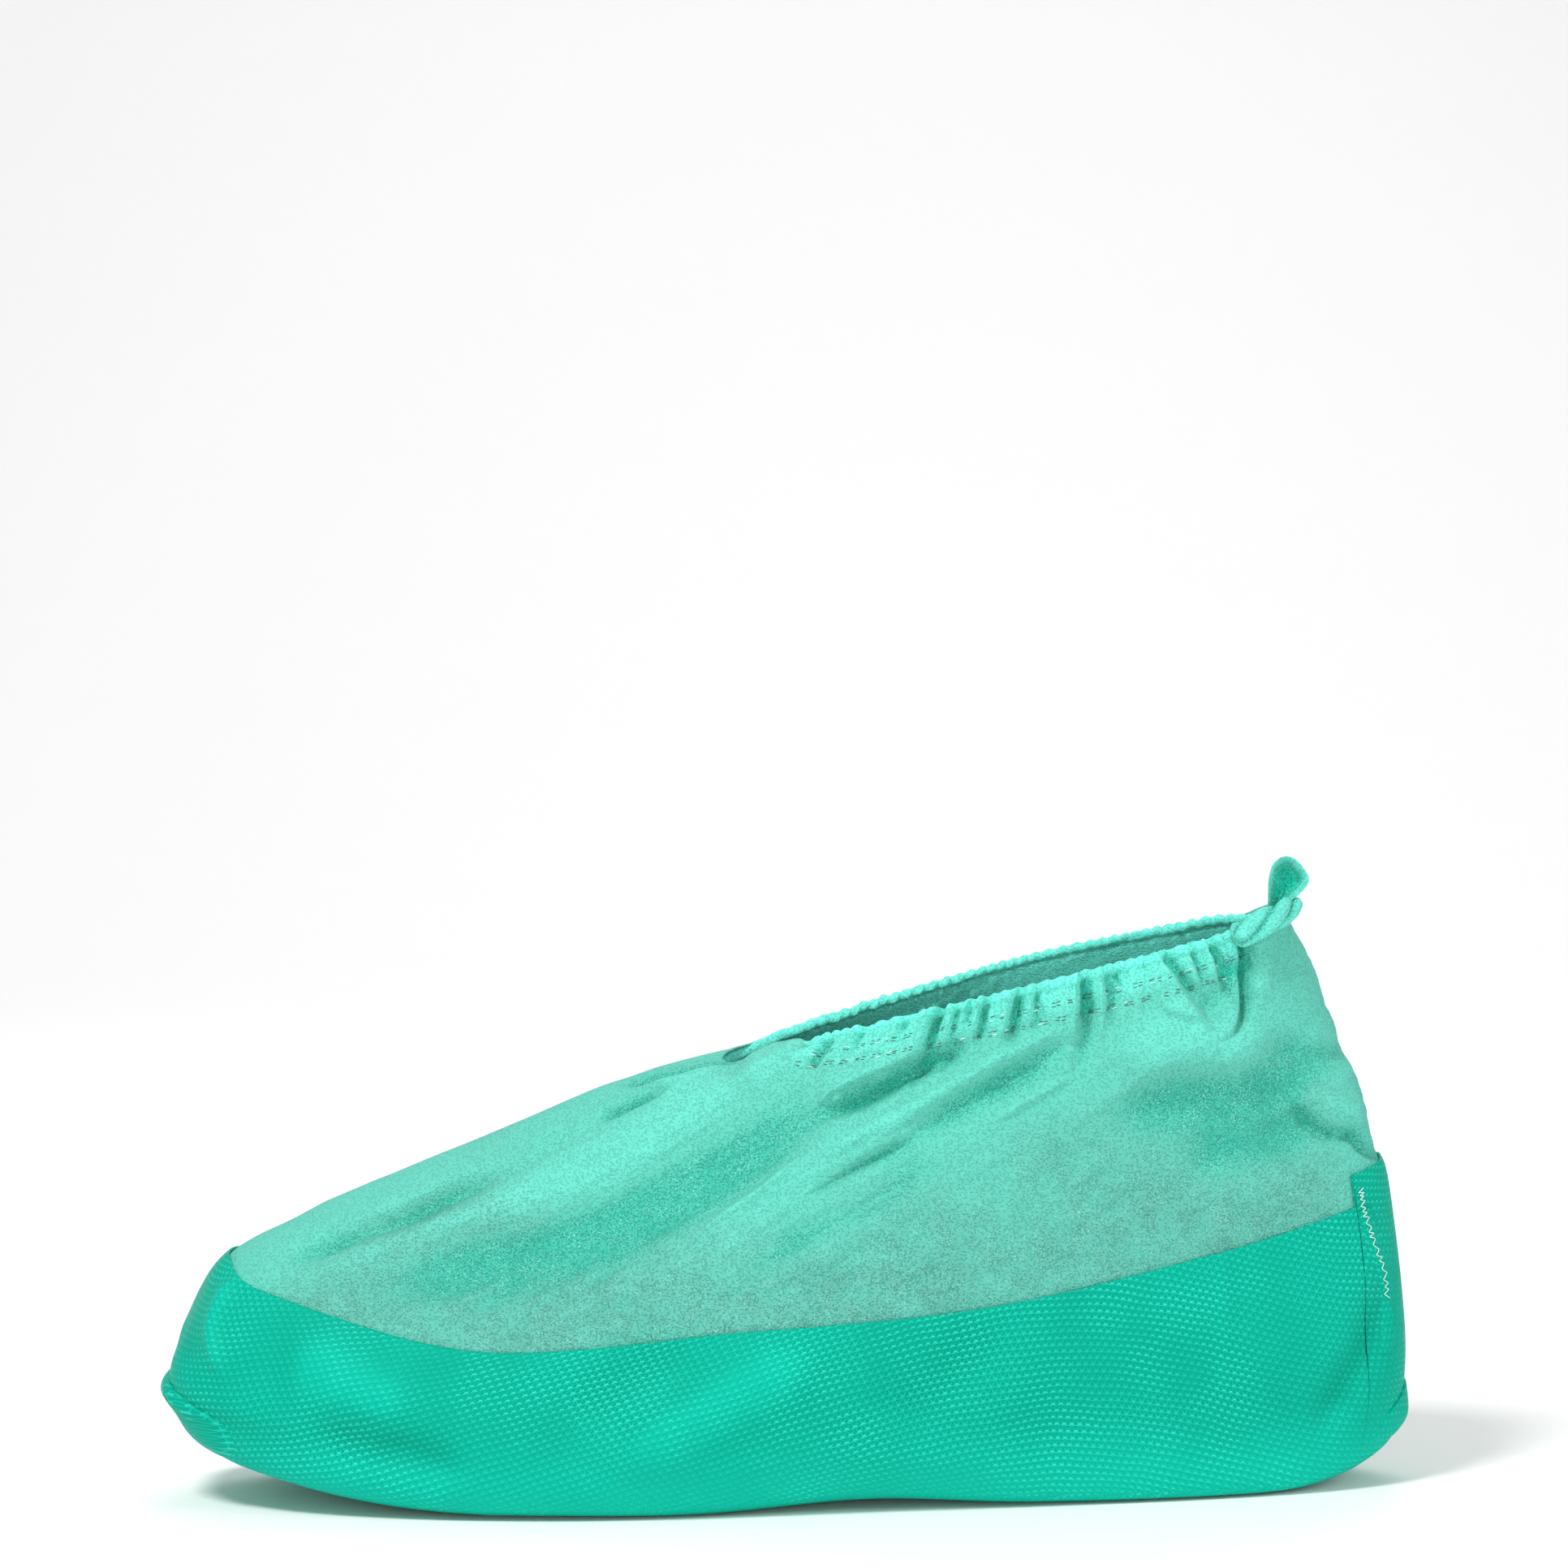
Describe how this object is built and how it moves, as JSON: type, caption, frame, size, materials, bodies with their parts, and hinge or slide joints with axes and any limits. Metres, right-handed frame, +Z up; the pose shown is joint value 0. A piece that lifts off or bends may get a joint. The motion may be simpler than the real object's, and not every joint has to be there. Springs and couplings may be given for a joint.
{
  "type": "disposable boot cover",
  "caption": "Low slip-on cover for a boot: thin nonwoven upper with a gathered elastic collar, lapped into an embossed film foot with folded corners.",
  "frame": {"origin": "middle of the cover's box, on the floor that it stands on", "axes": "+X towards the heel, -X towards the toe, -Y towards the inner side of the foot, +Z up"},
  "size_m": [0.3216, 0.1128, 0.1628],
  "materials": {
    "film": "embossed glossy film",
    "cloth": "matte spunbond nonwoven",
    "hem": "gathered nonwoven, matte"
  },
  "bodies": {
    "root": {"sole_film": "film", "back_seam": "film", "toe_tuck": "film", "heel_tuck": "film", "upper": "cloth", "collar_hem": "hem", "rear_hem_roll": "hem", "rear_hem_loop": "hem"}
  },
  "joints": []
}
